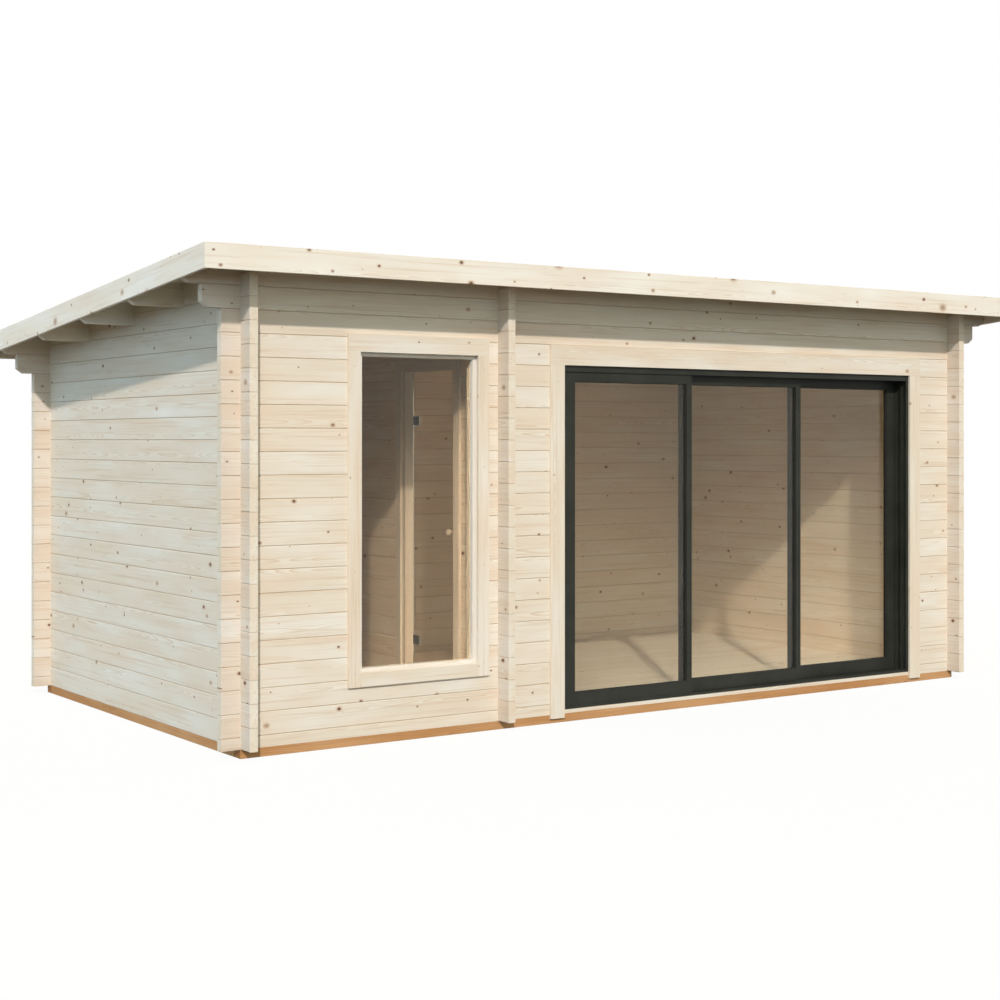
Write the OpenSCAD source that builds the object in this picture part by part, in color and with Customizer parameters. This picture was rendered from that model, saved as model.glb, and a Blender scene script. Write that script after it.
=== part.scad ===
// Garden sauna cabin: crossed machined logs under a one-slope roof, with a sauna room
// behind the tall window and a lounge behind a three-panel sliding door.
// X runs along the front from left to right, Y from the front to the back, Z up.
// The origin is at ground level, midway between the outer faces of the walls.

/* [Log walls] */
// Outer width of the walls across the front
wall_w = 5030; // [4700:10:6500]
// Outer depth of the walls, front to back
wall_d = 2653; // [2200:1:3300]
// Height of the front wall above the foundation
front_h = 2337; // [2200:1:2900]
// Thickness of a log
log_t = 44; // [34:1:58]
// Height that one log adds to the wall
log_h = 114; // [94:1:140]
// Depth of each half of the V joint between two logs
joint_v = 3.5; // [2:0.5:5]
// Length of a log past the face of the wall that it crosses
end_len = 100; // [70:5:140]

/* [Partition] */
// Left face of the partition, from the left outer face of the cabin
part_x = 1491; // [1480:1:1700]
// Front edge of the sauna door frame, from the front outer face of the cabin
inner_y = 395; // [300:1:500]
// Outer width of the sauna door frame
inner_w = 590; // [560:5:800]
// Outer height of the sauna door frame
inner_h = 1890; // [1800:5:1900]
// Depth of the sauna door frame through the partition
inner_deep = 72; // [66:1:100]
// Thickness of the sauna door frame's jambs and head
inner_t = 42; // [36:1:50]

/* [Foundation and floor] */
// Height of a foundation beam
beam_h = 45; // [30:1:70]
// Width of a foundation beam
beam_w = 70; // [60:1:100]
// Thickness of the floor boards
floor_t = 19; // [16:1:28]
// Largest distance from one floor joist to the next
joist_pitch = 600; // [400:10:700]

/* [Roof] */
// Slope of the roof down to the back, in degrees
roof_pitch = 5; // [3:0.5:7]
// Roof overhang past the side walls, to the outside of the fascia
side_out = 324; // [280:1:400]
// Roof overhang past the front and back walls, to the outside of the fascia
front_out = 304; // [250:1:400]
// Thickness of the roof boards
board_t = 19; // [16:1:28]
// Height of the fascia boards
fascia_h = 118; // [100:1:160]
// Thickness of the fascia boards
fascia_t = 19; // [15:1:28]
// Thickness of the roofing felt
felt_t = 3; // [2:0.5:5]
// Height of a purlin at its front face
purlin_h = 120; // [90:1:160]
// Length of a bracket log past the side wall
bracket_out = 200; // [140:5:240]

/* [Tall window] */
// Left edge of the opening between the casings, from the left outer face
win_x = 653; // [560:1:700]
// Bottom edge of the opening between the casings, above the foundation
win_z = 316; // [200:1:500]
// Width between the casings
win_w = 705; // [560:1:730]
// Height between the casings
win_h = 1606; // [1300:1:1620]
// Width of the side and bottom casings
win_casing = 69; // [60:1:72]
// Width of the top casing
win_casing_top = 92; // [70:1:110]

/* [Sliding door] */
// Outer width of the aluminium frame
door_w = 2705; // [2400:5:2800]
// Outer height of the aluminium frame
door_h = 1866; // [1700:1:1870]
// Left edge of the frame, from the right face of the partition
door_gap = 385; // [300:1:460]
// Thickness of the sill board under the frame
sill_t = 21; // [20:1:40]
// Distance from one track to the next
track_pitch = 45; // [44:1:60]
// Thickness of a door panel
panel_t = 32; // [28:1:34]
// Width of a panel's outer stile, at the frame
stile_w = 74; // [50:1:90]
// Width of a panel's stile where two panels overlap
lock_w = 38; // [30:1:50]
// Height of a panel's top and bottom rails
rail_h = 72; // [60:1:90]
// Width of the door casings
door_casing = 92; // [80:1:110]
// Height of the top casing
door_casing_top = 108; // [80:1:130]
// Thickness of all casings
casing_t = 16; // [12:1:24]

/* [Hidden] */
$fn = 48;

// Colours
spruce = [0.91, 0.85, 0.74];
spruce_shade = [0.86, 0.79, 0.67];
treated = [0.78, 0.58, 0.38];
anthracite = [0.2, 0.22, 0.22];
pane = [0.62, 0.72, 0.72, 0.4];
steel = [0.75, 0.76, 0.77];
felt_grey = [0.27, 0.27, 0.28];

big = 20000;              // larger than the cabin, for cutting shapes
running_gap = 5;          // clearance round what moves
seat_gap = 0.3;           // clearance between a roller or pin and its seat
lay_gap = 0.05;           // between faces that lie on each other along the roof slope
slope = tan(roof_pitch);

// Walls: logs of the front and back walls start with a half log, side walls with a whole one
inner_left = log_t;
inner_right = wall_w - log_t;
inner_back = wall_d - log_t;
front_xs = [0, part_x, inner_right];    // where side logs and the partition cross the front and back
side_ys = [0, inner_back];              // where front and back logs cross the sides
function roof_z(y) = front_h - slope * y;
function half_joint_below(z) = (floor(z / log_h - 0.5 + 0.001) + 0.5) * log_h;
function half_joint_above(z) = (ceil(z / log_h - 0.5 - 0.001) + 0.5) * log_h;

// The plate is the top log, and the bracket log lies under it
plate_share = 0.6;                      // least height of a plate, as a share of a log
front_plate_z = half_joint_below(front_h - plate_share * log_h);
front_bracket_z = front_plate_z - log_h;
back_plate_z = half_joint_below(roof_z(inner_back) - plate_share * log_h);
back_bracket_z = back_plate_z - log_h;
plate_gap = 5;                          // plates and purlins stop just behind the fascia
plate_out = side_out - fascia_t - plate_gap;
end_cut_x = 38;                         // sloping cut under the end of a plate, bracket or purlin
end_cut_z = 28;

// Tall window
win_frame_t = 44;                       // section of the frame across the opening
win_show = 20;                          // part of it that shows inside the casings
win_hide = win_frame_t - win_show;
win_frame_y = 10;                       // set back from the face of the wall
win_frame_deep = 58;
win_pane_in = 26;                       // outer bead of the frame, in front of the pane
win_glass_y = win_frame_y + win_pane_in;
glass_t = 6;
glass_in = 10;                          // how far a pane sits into its frame
fit_gap = 4;                            // packing space beside a frame
settle_gap = 24;                        // space over a frame, for the logs to settle
win_left = win_x - win_hide - fit_gap;
win_right = win_x + win_w + win_hide + fit_gap;
win_sill_z = win_z - win_hide;
win_head_z = win_z + win_h + win_hide + settle_gap;

// Sliding door
door_x = part_x + log_t + door_gap;
door_z = sill_t;
door_left = door_x - fit_gap;
door_right = door_x + door_w + fit_gap;
door_head_z = door_z + door_h + settle_gap;
fin_t = 3;                              // fins between the tracks
web_t = 5;                              // flat of the frame profile
jamb_fin = 20;                          // fin depth at the sides, from the outside of the frame
head_fin = 34;                          // fin depth at the top
sill_fin = 14;                          // height of the water bars along the bottom track
frame_deep = 3 * track_pitch + fin_t;
panel_side = web_t + 7;                 // panel edge from the outside of the frame
panel_top = web_t + 9;
panel_low = web_t + 7;
panel_h = door_h - panel_top - panel_low;
module_w = door_w / 3;                  // the overlapping stiles stand at thirds of the frame
bead_w = 6;                             // rail that the rollers run on
bead_h = 10;
roller_r = 12;
roller_w = 8;
roller_slot = roller_w + 2 * running_gap;
slot_over = 4;                          // free height over a roller in its slot
axle_r = 4;
axle_in = 4;                            // end of an axle, inside the panel's face
roller_in = 120;                        // roller centre from the end of its panel
function track_y(i) = fin_t + (track_pitch - fin_t) / 2 + i * track_pitch;

// Wall pieces are parted along the joints beside the openings
low_top = half_joint_above(win_sill_z);
head_low = half_joint_below(min(door_head_z, win_head_z));

// Sauna door
inner_z = floor_t;
inner_top = inner_z + inner_h;
inner_settle = 15;                      // least space over the frame, for the logs to settle
inner_head_z = ceil((inner_top + inner_settle) / log_h) * log_h;
inner_x = part_x;                       // flush with the logs on the sauna side
inner_x2 = inner_x + inner_deep;
rebate = 15;                            // depth of the rebate that the glass closes into
rebate_x = 18;
leaf_t = 8;
leaf_x = inner_x2 - rebate_x + running_gap;
leaf_y = inner_y + inner_t - rebate + running_gap;
leaf_w = inner_w - 2 * (inner_t - rebate + running_gap);
leaf_z = inner_z + inner_t - rebate + running_gap;
leaf_h = inner_h - 2 * (inner_t - rebate + running_gap);
pin_off = 12;                           // the pin stands off the frame's face
pin_past = 7;                           // and just past the edge of the glass
hinge_x = inner_x2 + pin_off;
hinge_y = leaf_y + leaf_w + pin_past;
pin_r = 4;
knuckle_r = 7.5;
knuckle_h = 50;
clamp_l = 60;                           // clamp along the glass
clamp_t = 15;
clamp_arm = 5;                          // thickness of the arm from the clamp to the knuckle
hinge_in = 285;                         // middle of a hinge, from the end of the glass
hinge_zs = [leaf_z + hinge_in, leaf_z + leaf_h - hinge_in];
knob_z = 970;
knob_in = 100;                          // knob centre from the free edge of the glass
knob_r = 19;
knob_t = 22;
knob_neck_r = 8;
knob_neck = 20;
lug_h = 8;
lug_gap = 1;                            // between a lug and the knuckle on its pin
lug_wall = 1;                           // of a lug round its pin
hinge_plate_t = 4;
inner_casing = 50;
inner_lap = 13;                         // of a cover strip over the frame's flush face
casing_lap = 21;                        // of the top cover strip over the logs above the frame

// ---------------------------------------------------------------- helpers

// Moves a shape from the walls' own corner to the cabin's origin
module placed() translate([-wall_w / 2, -wall_d / 2, beam_h]) children();

// Outline drawn in Y and Z, run along X from x0 to x1
module along_x(x0, x1)
    translate([x0, 0, 0]) rotate([90, 0, 90]) linear_extrude(x1 - x0) children();

// Outline drawn in X and Z, run along Y from y0 to y1
module along_y(y0, y1)
    translate([0, y1, 0]) rotate([90, 0, 0]) linear_extrude(y1 - y0) children();

// Box from one corner to the opposite one
module block(a, b) translate(a) cube(b - a);

// Keeps what lies under the roof boards
module under_roof() intersection() {
    children();
    far = big / 4;
    along_x(-big, big)
        polygon([[-far, -big], [far, -big], [far, roof_z(far) - lay_gap], [-far, roof_z(-far) - lay_gap]]);
}

// Joint heights between z0 and z1, both included, for logs that start at the given height
function joints(start, z0, z1) = [
    for (k = [ceil((z0 - start) / log_h - 0.001) : floor((z1 - start) / log_h + 0.001)]) start + k * log_h
];

// One side of the outline of stacked logs, upwards: s is 1 on the far face and 0 on the near one
function log_side(s, start, z0, z1) = let (face = s * log_t, cut = face + (1 - 2 * s) * joint_v) [
    if (abs(joints(start, z0, z1)[0] - z0) > 0.01) [face, z0],
    for (z = joints(start, z0, z1)) each [
        if (z - joint_v > z0) [face, z - joint_v],
        [cut, z],
        if (z + joint_v < z1) [face, z + joint_v]
    ],
    let (last = joints(start, z0, z1)) if (abs(last[len(last) - 1] - z1) > 0.01) [face, z1]
];
function reversed(list) = [for (i = [len(list) - 1 : -1 : 0]) list[i]];
function log_outline(start, z0, z1) =
    concat(log_side(1, start, z0, z1), reversed(log_side(0, start, z0, z1)));

// Space in a crossing that the logs starting at the given height keep for themselves
module crossing_bands(x, y, start, z0, z1) {
    for (k = [floor((z0 - start) / log_h) - 1 : ceil((z1 - start) / log_h) + 1]) {
        low = start + (k + 0.25) * log_h;
        translate([x, y, low]) cube([log_t, log_t, log_h / 2]);
    }
}

// Logs along X, notched where the side logs cross them
module front_logs(x0, x1, z0, z1, y, crossings = front_xs) difference() {
    translate([0, y, 0]) along_x(x0, x1) polygon(log_outline(-log_h / 2, z0, z1));
    for (x = crossings) if (x >= x0 && x + log_t <= x1) crossing_bands(x, y, 0, z0, z1);
}

// Logs along Y, notched where the front and back logs cross them
module side_logs(y0, y1, z0, z1, x) difference() {
    translate([x, 0, 0]) along_y(y0, y1) polygon(log_outline(0, z0, z1));
    for (y = side_ys) if (y >= y0 && y + log_t <= y1) crossing_bands(x, y, -log_h / 2, z0, z1);
}

// Sloping cuts under both ends of a log that runs out under the roof
module end_cuts(out, y, z) {
    for (side = [0, 1]) translate([side * wall_w, 0, 0]) mirror([side, 0, 0])
        along_y(y - 1, y + log_t + 1)
            polygon([[-out - 1, z - 1], [-out - 1, z + end_cut_z], [-out, z + end_cut_z],
                     [-out + end_cut_x, z], [-out + end_cut_x, z - 1]]);
}

// Places of the purlins, front face, evenly between the front and the back wall
purlin_count = 3;
function purlin_y(i) = (wall_d - log_t) * (i + 1) / (purlin_count + 1);
function purlin_low(i) = roof_z(purlin_y(i)) - purlin_h;
module purlin_pockets(x) {
    for (i = [0 : purlin_count - 1])
        block([x - 1, purlin_y(i), purlin_low(i)], [x + log_t + 1, purlin_y(i) + log_t, front_h + 1]);
}

// ---------------------------------------------------------------- foundation and floor

module foundation_front() color(treated) placed() block([0, 0, -beam_h], [wall_w, beam_w, 0]);
module foundation_back() color(treated) placed() block([0, wall_d - beam_w, -beam_h], [wall_w, wall_d, 0]);
module foundation_cross() color(treated) placed()
    for (x = [0, part_x + log_t / 2 - beam_w / 2, wall_w - beam_w])
        block([x, beam_w, -beam_h], [x + beam_w, wall_d - beam_w, 0]);

// Joists on the ground between the front and back beams, in each room
joist_w = 45;
module joists_between(x0, x1) {
    count = ceil((x1 - x0) / joist_pitch) - 1;
    for (i = [1 : count]) {
        x = x0 + (x1 - x0) * i / (count + 1);
        block([x - joist_w / 2, beam_w, -beam_h], [x + joist_w / 2, wall_d - beam_w, 0]);
    }
}
module floor_joists() color(treated) placed() {
    joists_between(inner_left, part_x);
    joists_between(part_x + log_t, inner_right);
}

module sauna_floor() color(spruce_shade) placed()
    block([inner_left, log_t, 0], [part_x, inner_back, floor_t]);
// The lounge floor stops at the sill board of the sliding door
module lounge_floor() color(spruce_shade) placed() difference() {
    block([part_x + log_t, log_t, 0], [inner_right, inner_back, floor_t]);
    block([door_left, 0, -1], [door_right, frame_deep, floor_t + 1]);
}

// ---------------------------------------------------------------- log walls

module front_wall_low() color(spruce) placed() difference() {
    front_logs(-end_len, door_left, 0, low_top, 0);
    block([win_left, -1, win_sill_z], [win_right, log_t + 1, low_top + 1]);
}
module front_wall_left() color(spruce) placed() front_logs(-end_len, win_left, low_top, head_low, 0);
module front_wall_middle() color(spruce) placed() front_logs(win_right, door_left, low_top, head_low, 0);
module front_wall_right() color(spruce) placed() front_logs(door_right, wall_w + end_len, 0, head_low, 0);
module front_wall_head() color(spruce) placed() difference() {
    front_logs(-end_len, wall_w + end_len, head_low, front_bracket_z, 0);
    block([win_left, -1, head_low - 1], [win_right, log_t + 1, win_head_z]);
    block([door_left, -1, head_low - 1], [door_right, log_t + 1, door_head_z]);
}
module front_bracket_log() color(spruce) placed() difference() {
    front_logs(-bracket_out, wall_w + bracket_out, front_bracket_z, front_plate_z, 0);
    end_cuts(bracket_out, 0, front_bracket_z);
}
module front_plate() color(spruce) placed() under_roof() difference() {
    front_logs(-plate_out, wall_w + plate_out, front_plate_z, front_h, 0);
    end_cuts(plate_out, 0, front_plate_z);
}
module back_wall() color(spruce) placed()
    front_logs(-end_len, wall_w + end_len, 0, back_bracket_z, inner_back);
module back_bracket_log() color(spruce) placed() difference() {
    front_logs(-bracket_out, wall_w + bracket_out, back_bracket_z, back_plate_z, inner_back);
    end_cuts(bracket_out, inner_back, back_bracket_z);
}
module back_plate() color(spruce) placed() under_roof() difference() {
    front_logs(-plate_out, wall_w + plate_out, back_plate_z, roof_z(inner_back), inner_back);
    end_cuts(plate_out, inner_back, back_plate_z);
}

// A side wall or a piece of the partition, cut to the roof and notched for the purlins
roofed_top = roof_z(-end_len) + 1;
module roofed_side_logs(y0, y1, z0, x, z1 = roofed_top) under_roof() difference() {
    side_logs(y0, y1, z0, z1, x);
    purlin_pockets(x);
}
module left_wall() color(spruce) placed() roofed_side_logs(-end_len, wall_d + end_len, 0, 0);
module right_wall() color(spruce) placed() roofed_side_logs(-end_len, wall_d + end_len, 0, inner_right);
module partition_front() color(spruce) placed()
    roofed_side_logs(-end_len, inner_y - fit_gap, 0, part_x, inner_head_z);
module partition_back() color(spruce) placed()
    roofed_side_logs(inner_y + inner_w + fit_gap, wall_d + end_len, 0, part_x, inner_head_z);
module partition_head() color(spruce) placed()
    roofed_side_logs(-end_len, wall_d + end_len, inner_head_z, part_x);

// ---------------------------------------------------------------- roof

module purlins() color(spruce) placed() under_roof()
    for (i = [0 : purlin_count - 1]) difference() {
        block([-plate_out, purlin_y(i), purlin_low(i)], [wall_w + plate_out, purlin_y(i) + log_t, front_h]);
        end_cuts(plate_out, purlin_y(i), purlin_low(i));
    }

// Slab that lies on the roof slope, from y0 to y1 and over the given heights
module roof_slab(x0, x1, y0, y1, low, high)
    along_x(x0, x1)
        polygon([[y0, roof_z(y0) + low], [y1, roof_z(y1) + low],
                 [y1, roof_z(y1) + high], [y0, roof_z(y0) + high]]);
deck_side = side_out - fascia_t;
deck_front = front_out - fascia_t;
felt_back = 5;                          // the felt stops short of the fascia's outer face
module roof_boards() color(spruce_shade) placed()
    roof_slab(-deck_side, wall_w + deck_side, -deck_front, wall_d + deck_front, 0, board_t);
module roof_felt() color(felt_grey) placed()
    roof_slab(-side_out + felt_back, wall_w + side_out - felt_back, -front_out + felt_back,
              wall_d + front_out - felt_back, board_t + lay_gap, board_t + lay_gap + felt_t);

// The long fascias run past the ends of the side ones; their tops are planed to the slope
module fascia_front() color(spruce) placed() intersection() {
    block([-side_out, -front_out, roof_z(-deck_front) + board_t - fascia_h],
          [wall_w + side_out, -deck_front, front_h + fascia_h]);
    roof_slab(-side_out - 1, wall_w + side_out + 1, -front_out - 1, -deck_front + 1, -big, board_t);
}
module fascia_back() color(spruce) placed() {
    back = wall_d + deck_front;
    intersection() {
        block([-side_out, back, roof_z(back) + board_t - fascia_h],
              [wall_w + side_out, back + fascia_t, front_h]);
        roof_slab(-side_out - 1, wall_w + side_out + 1, back - 1, back + fascia_t + 1, -big, board_t);
    }
}
module fascia_sides() color(spruce) placed()
    for (x = [-side_out, wall_w + side_out - fascia_t])
        roof_slab(x, x + fascia_t, -deck_front, wall_d + deck_front, board_t - fascia_h, board_t);

// ---------------------------------------------------------------- tall window

module window_frame() color(spruce) placed() difference() {
    block([win_x - win_hide, win_frame_y, win_sill_z],
          [win_x + win_w + win_hide, win_frame_y + win_frame_deep, win_z + win_h + win_hide]);
    block([win_x + win_show, win_frame_y - 1, win_z + win_show],
          [win_x + win_w - win_show, win_frame_y + win_frame_deep + 1, win_z + win_h - win_show]);
    window_pane();
}
module window_pane() {
    edge = win_show - glass_in;
    block([win_x + edge, win_glass_y, win_z + edge],
          [win_x + win_w - edge, win_glass_y + glass_t, win_z + win_h - edge]);
}
module window_glass() color(pane) placed() window_pane();
module window_casing_sides() color(spruce) placed()
    for (x = [win_x - win_casing, win_x + win_w])
        block([x, -casing_t, win_z - win_casing], [x + win_casing, 0, win_z + win_h]);
module window_casing_ends() color(spruce) placed() {
    block([win_x - win_casing, -casing_t, win_z + win_h],
          [win_x + win_w + win_casing, 0, win_z + win_h + win_casing_top]);
    block([win_x, -casing_t, win_z - win_casing], [win_x + win_w, 0, win_z]);
}

// ---------------------------------------------------------------- sliding door

casing_drop = 20;                       // the side casings lap the foundation beam
module door_casing_sides() color(spruce) placed()
    for (x = [door_x - door_casing, door_x + door_w])
        block([x, -casing_t, -casing_drop], [x + door_casing, 0, door_z + door_h]);
module door_casing_top_board() color(spruce) placed()
    block([door_x - door_casing, -casing_t, door_z + door_h],
          [door_x + door_w + door_casing, 0, door_z + door_h + door_casing_top]);
module door_sill() color(spruce) placed()
    block([door_left, 0, 0], [door_right, frame_deep, sill_t]);

// Head, with four fins under it that hold the panels' tops apart
module slider_head() color(anthracite) placed()
    block([door_x, 0, door_z + door_h - web_t], [door_x + door_w, frame_deep, door_z + door_h]);
module slider_head_fins() color(anthracite) placed()
    for (i = [0 : 3]) {
        end = i == 0 || i == 3 ? 0 : web_t;     // the inner fins stop at the jambs
        block([door_x + end, i * track_pitch, door_z + door_h - head_fin],
              [door_x + door_w - end, i * track_pitch + fin_t, door_z + door_h - web_t]);
    }
// Bottom track, with a water bar front and back and three rails on it
module slider_track() color(anthracite) placed()
    block([door_x, 0, door_z], [door_x + door_w, frame_deep, door_z + web_t]);
module slider_track_rails() color(anthracite) placed() {
    for (y = [0, frame_deep - fin_t])
        block([door_x, y, door_z + web_t], [door_x + door_w, y + fin_t, door_z + sill_fin]);
    for (i = [0 : 2])
        block([door_x + web_t, track_y(i) - bead_w / 2, door_z + web_t],
              [door_x + door_w - web_t, track_y(i) + bead_w / 2, door_z + web_t + bead_h]);
}
// Draws a jamb's shape at the left end of the frame and mirrored at the right end
module both_jambs() {
    children();
    translate([2 * door_x + door_w, 0, 0]) mirror([1, 0, 0]) children();
}
module slider_jambs() color(anthracite) placed() both_jambs()
    block([door_x, fin_t, door_z + web_t], [door_x + web_t, frame_deep - fin_t, door_z + door_h - web_t]);
module slider_jamb_fins() color(anthracite) placed() both_jambs()
    for (i = [0 : 3]) {
        outer = i == 0 || i == 3;
        block([door_x + (outer ? 0 : web_t), i * track_pitch, door_z + (outer ? sill_fin : web_t)],
              [door_x + jamb_fin, i * track_pitch + fin_t, door_z + door_h - head_fin]);
    }

// Left and right edge of each panel
function panel_x0(i) = i == 0 ? door_x + panel_side : door_x + i * module_w - lock_w / 2;
function panel_x1(i) = i == 2 ? door_x + door_w - panel_side : door_x + (i + 1) * module_w + lock_w / 2;
function panel_left_stile(i) = i == 0 ? stile_w : lock_w;
function panel_right_stile(i) = i == 2 ? stile_w : lock_w;
module panel_pane(i) {
    low = door_z + panel_low + rail_h - glass_in;
    high = door_z + panel_low + panel_h - rail_h + glass_in;
    block([panel_x0(i) + panel_left_stile(i) - glass_in, track_y(i) - glass_t / 2, low],
          [panel_x1(i) - panel_right_stile(i) + glass_in, track_y(i) + glass_t / 2, high]);
}
module sliding_panel(i) {
    y0 = track_y(i) - panel_t / 2;
    y1 = track_y(i) + panel_t / 2;
    low = door_z + panel_low;
    high = low + panel_h;
    axle_z = door_z + web_t + bead_h + seat_gap + roller_r;
    difference() {
        block([panel_x0(i), y0, low], [panel_x1(i), y1, high]);
        block([panel_x0(i) + panel_left_stile(i), y0 - 1, low + rail_h],
              [panel_x1(i) - panel_right_stile(i), y1 + 1, high - rail_h]);
        block([panel_x0(i) - 1, track_y(i) - roller_slot / 2, low - 1],
              [panel_x1(i) + 1, track_y(i) + roller_slot / 2, axle_z + roller_r + slot_over]);
        panel_pane(i);
    }
    for (x = [panel_x0(i) + roller_in, panel_x1(i) - roller_in]) {
        translate([x, track_y(i) - roller_w / 2, axle_z]) rotate([-90, 0, 0])
            cylinder(r = roller_r, h = roller_w);
        translate([x, y0 + axle_in, axle_z]) rotate([-90, 0, 0])
            cylinder(r = axle_r, h = panel_t - 2 * axle_in);
    }
}
module left_panel() color(anthracite) placed() sliding_panel(0);
module middle_panel() color(anthracite) placed() sliding_panel(1);
module right_panel() color(anthracite) placed() sliding_panel(2);
module left_glass() color(pane) placed() panel_pane(0);
module middle_glass() color(pane) placed() panel_pane(1);
module right_glass() color(pane) placed() panel_pane(2);

// ---------------------------------------------------------------- sauna door

module sauna_door_frame() color(spruce_shade) placed() difference() {
    rim = inner_t - rebate;
    block([inner_x, inner_y, inner_z], [inner_x2, inner_y + inner_w, inner_top]);
    block([inner_x - 1, inner_y + inner_t, inner_z + inner_t],
          [inner_x2 + 1, inner_y + inner_w - inner_t, inner_top - inner_t]);
    block([inner_x2 - rebate_x, inner_y + rim, inner_z + rim],
          [inner_x2 + 1, inner_y + inner_w - rim, inner_top - rim]);
}
// Cover strips on both faces of the partition, up to the logs over the frame. They lap its flush face on
// the sauna side, and stand beside it in the lounge, where it sticks out
module sauna_door_casings() color(spruce_shade) placed()
    for (side = [[part_x - casing_t, inner_lap], [part_x + log_t, 0]]) difference() {
        x = side[0];
        lap = side[1];
        block([x, inner_y + lap - inner_casing, inner_z],
              [x + casing_t, inner_y + inner_w - lap + inner_casing, inner_head_z + casing_lap]);
        block([x - 1, inner_y + lap, inner_z - 1],
              [x + casing_t + 1, inner_y + inner_w - lap, inner_top - lap]);
    }
module sauna_door_glass() color(pane) placed()
    block([leaf_x, leaf_y, leaf_z], [leaf_x + leaf_t, leaf_y + leaf_w, leaf_z + leaf_h]);
module sauna_door_clamps() color(steel) placed()
    for (z = hinge_zs) difference() {
        union() {
            block([leaf_x + leaf_t, leaf_y + leaf_w - clamp_l, z - knuckle_h / 2],
                  [leaf_x + leaf_t + clamp_t, leaf_y + leaf_w, z + knuckle_h / 2]);
            block([leaf_x + leaf_t + clamp_t - clamp_arm, leaf_y + leaf_w - 1, z - knuckle_h / 2],
                  [leaf_x + leaf_t + clamp_t, hinge_y, z + knuckle_h / 2]);
            translate([hinge_x, hinge_y, z - knuckle_h / 2]) cylinder(r = knuckle_r, h = knuckle_h);
        }
        translate([hinge_x, hinge_y, z - knuckle_h / 2 - 1])
            cylinder(r = pin_r + seat_gap, h = knuckle_h + 2);
    }
// Round knobs on both faces of the glass
module sauna_door_knob() {
    cylinder(r = knob_neck_r, h = knob_neck + knob_t / 2);
    translate([0, 0, knob_neck]) cylinder(r = knob_r, h = knob_t);
}
module sauna_door_knobs() color(spruce_shade) placed() {
    translate([leaf_x, leaf_y + knob_in, knob_z]) rotate([0, -90, 0]) sauna_door_knob();
    translate([leaf_x + leaf_t, leaf_y + knob_in, knob_z]) rotate([0, 90, 0]) sauna_door_knob();
}
// Pins on lugs that are fixed to the frame
module sauna_door_hinges() color(steel) placed()
    for (z = hinge_zs) {
        half = knuckle_h / 2 + lug_gap;
        block([inner_x2, hinge_y + knuckle_r + running_gap, z - half - lug_h],
              [inner_x2 + hinge_plate_t, inner_y + inner_w, z + half + lug_h]);
        for (low = [z - half - lug_h, z + half])
            block([inner_x2, hinge_y - pin_r - lug_wall, low],
                  [hinge_x + pin_r + lug_wall, inner_y + inner_w, low + lug_h]);
        translate([hinge_x, hinge_y, z - half - lug_h]) cylinder(r = pin_r, h = 2 * (half + lug_h));
    }

foundation_front();
foundation_back();
foundation_cross();
floor_joists();
sauna_floor();
lounge_floor();
front_wall_low();
front_wall_left();
front_wall_middle();
front_wall_right();
front_wall_head();
front_bracket_log();
front_plate();
back_wall();
back_bracket_log();
back_plate();
left_wall();
right_wall();
partition_front();
partition_back();
partition_head();
purlins();
roof_boards();
roof_felt();
fascia_front();
fascia_back();
fascia_sides();
window_frame();
window_glass();
window_casing_sides();
window_casing_ends();
door_casing_sides();
door_casing_top_board();
door_sill();
slider_head();
slider_head_fins();
slider_track();
slider_track_rails();
slider_jambs();
slider_jamb_fins();
left_panel();
left_glass();
middle_panel();
middle_glass();
right_panel();
right_glass();
sauna_door_frame();
sauna_door_casings();
sauna_door_glass();
sauna_door_clamps();
sauna_door_knobs();
sauna_door_hinges();
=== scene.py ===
# %% [markdown]
# # A log sauna cabin, finished in Blender
#
# The cabin comes in as a finished construction: every log, pane and hinge already has its real size and
# place. This lesson gives it its surfaces and the small pieces that a joiner adds last: floor boards, roof
# boards, felt, glazing seals, turned knobs and screws. Nothing here moves or resizes the construction.
#
# We start by loading it.

# %% Load the cabin
import math
import bmesh
import bpy
from mathutils import Matrix, Vector


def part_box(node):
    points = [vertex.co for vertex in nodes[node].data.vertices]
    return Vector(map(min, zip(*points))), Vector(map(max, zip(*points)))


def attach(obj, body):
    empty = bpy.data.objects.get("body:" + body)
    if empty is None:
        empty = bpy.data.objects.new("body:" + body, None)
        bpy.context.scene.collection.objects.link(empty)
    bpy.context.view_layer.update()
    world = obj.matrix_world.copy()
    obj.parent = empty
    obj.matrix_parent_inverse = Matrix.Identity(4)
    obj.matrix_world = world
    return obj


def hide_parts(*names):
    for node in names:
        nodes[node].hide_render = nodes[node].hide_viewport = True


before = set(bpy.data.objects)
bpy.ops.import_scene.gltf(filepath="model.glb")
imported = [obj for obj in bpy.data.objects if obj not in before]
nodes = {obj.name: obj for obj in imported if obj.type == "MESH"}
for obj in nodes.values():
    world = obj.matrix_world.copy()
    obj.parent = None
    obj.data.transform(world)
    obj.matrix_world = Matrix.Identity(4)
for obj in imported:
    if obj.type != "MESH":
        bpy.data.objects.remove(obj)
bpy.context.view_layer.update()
MM = 0.001

# %% [markdown]
# ## Sizes that the finish needs
#
# A material that draws single logs has to know where one log ends and the next begins. Where a node gives a
# size, we read it there. The rest is named here once: how much height a log adds, and how steeply the roof
# falls.

# %% Sizes
LOG_COVER = 114 * MM
ROOF_FALL = math.tan(math.radians(5))
wall_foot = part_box("foundation_front")[1].z
front_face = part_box("foundation_front")[0].y
roof_low, roof_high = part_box("roof_boards")
print("walls stand at", round(wall_foot, 3), "m; front face at", round(front_face, 4), "m")

# %% [markdown]
# ## Two helpers for every material
#
# Colours are written as sRGB hex, the way a colour card gives them, but a shader counts light in linear
# values, so one function turns the first into the second. The other adds a node to a tree, sets it up and
# plugs it in. With it, a material reads from top to bottom like a recipe.

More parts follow.
